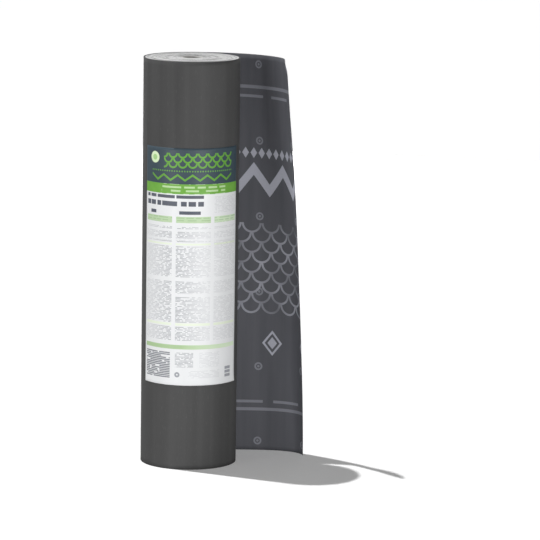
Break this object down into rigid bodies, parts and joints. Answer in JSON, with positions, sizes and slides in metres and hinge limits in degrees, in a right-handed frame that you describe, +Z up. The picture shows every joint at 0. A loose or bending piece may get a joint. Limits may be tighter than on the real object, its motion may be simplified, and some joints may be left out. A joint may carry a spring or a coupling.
{
  "type": "roll of roofing underlayment",
  "caption": "Wide grey sheet wound on a board core, standing on end with its outer end peeled off and a paper label on its front.",
  "frame": {"origin": "centre of the core's bore at the end that the roll stands on", "axes": "+Z up along the bore, -Y towards the middle of the front, +X towards the side that the loose end runs to"},
  "size_m": [0.4311, 0.2522, 1.0668],
  "materials": {
    "membrane": "matt woven film, slightly soft",
    "board": "pale grey board",
    "paper": "printed paper, matt"
  },
  "bodies": {
    "root": {"underlayment": "membrane", "core_tube": "board", "label": "paper"}
  },
  "joints": []
}
